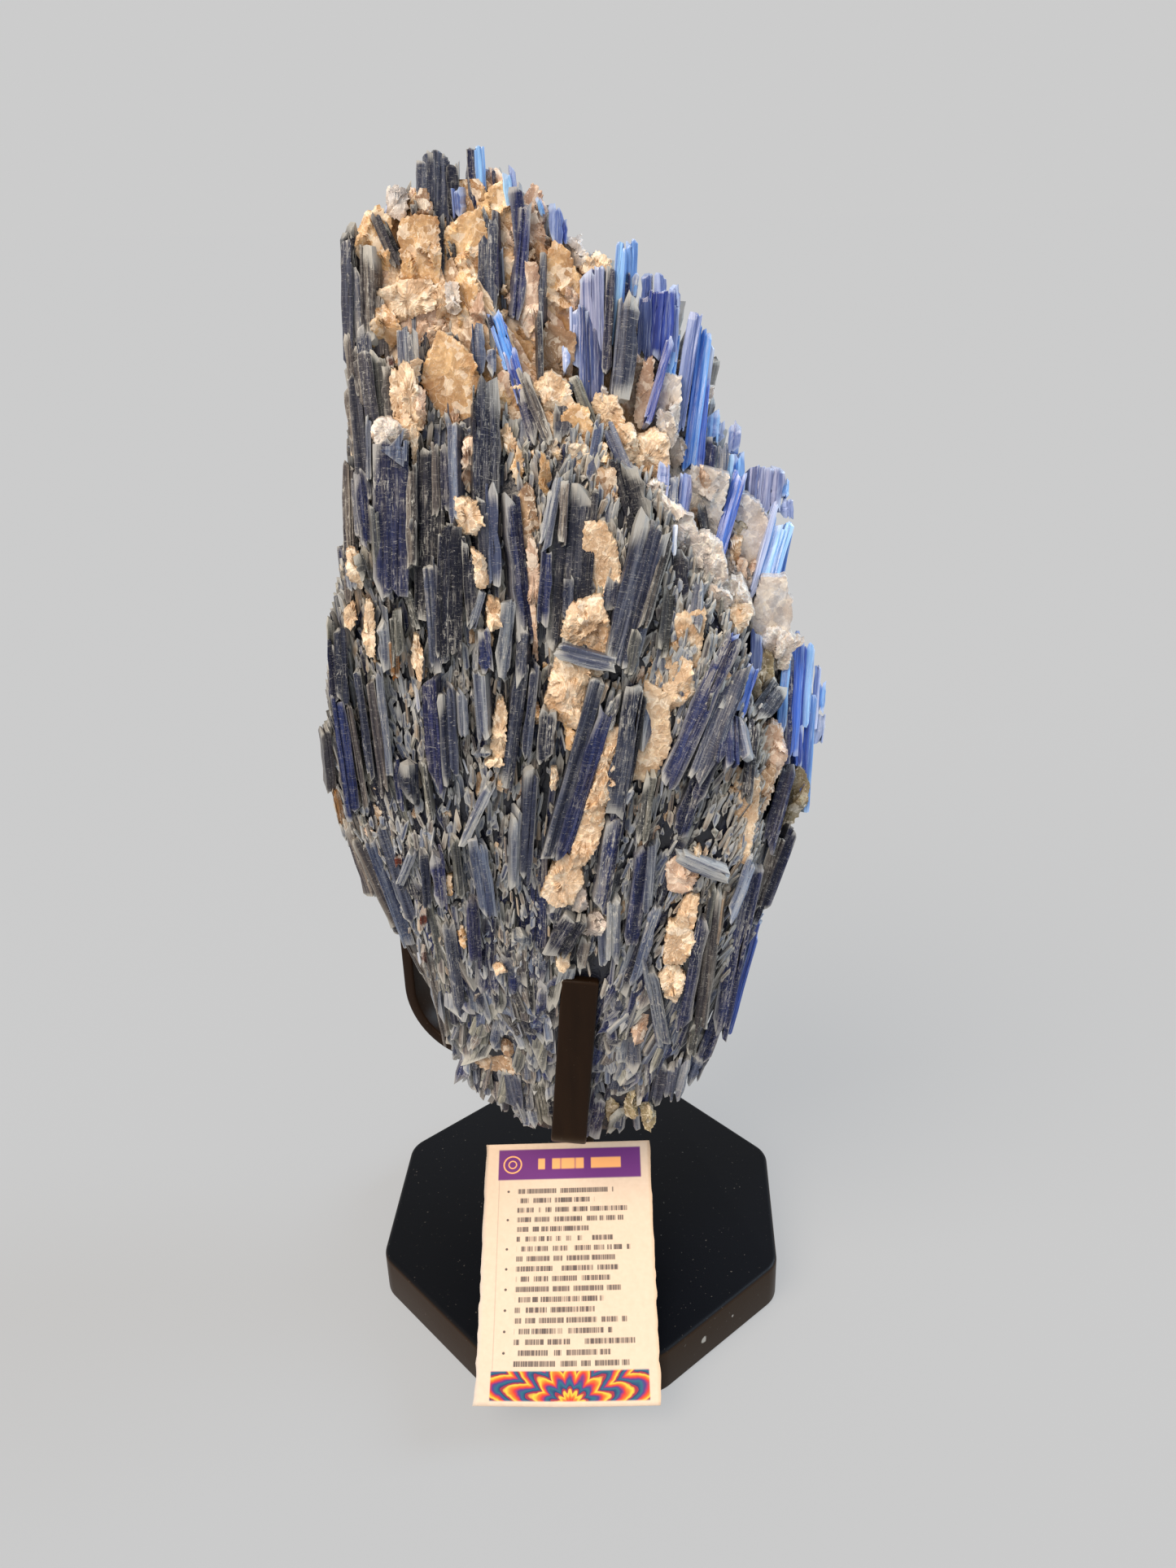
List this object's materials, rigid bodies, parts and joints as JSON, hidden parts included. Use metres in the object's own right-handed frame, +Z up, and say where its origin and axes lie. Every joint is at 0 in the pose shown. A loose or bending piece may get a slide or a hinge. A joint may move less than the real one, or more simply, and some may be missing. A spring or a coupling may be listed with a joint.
{
  "type": "mineral specimen on a display stand",
  "caption": "Tall fan of kyanite blades grown together with quartz, held upright by a pronged stand on an octagonal board with a loose label card.",
  "frame": {"origin": "middle of the board's underside, on the surface it stands on", "axes": "+Z up along the specimen's height, -Y towards the viewer and the card"},
  "size_m": [0.166, 0.1713, 0.405],
  "materials": {
    "board_paint": "black satin paint",
    "prong_paint": "dark satin paint",
    "card_paper": "matt card",
    "kyanite": "pearly blades"
  },
  "bodies": {
    "root": {"base_plate": "board_paint", "post": "board_paint", "front_prong": "prong_paint", "left_prong": "prong_paint", "right_prong": "prong_paint", "label_card": "card_paper", "kyanite_specimen": "kyanite"}
  },
  "joints": []
}
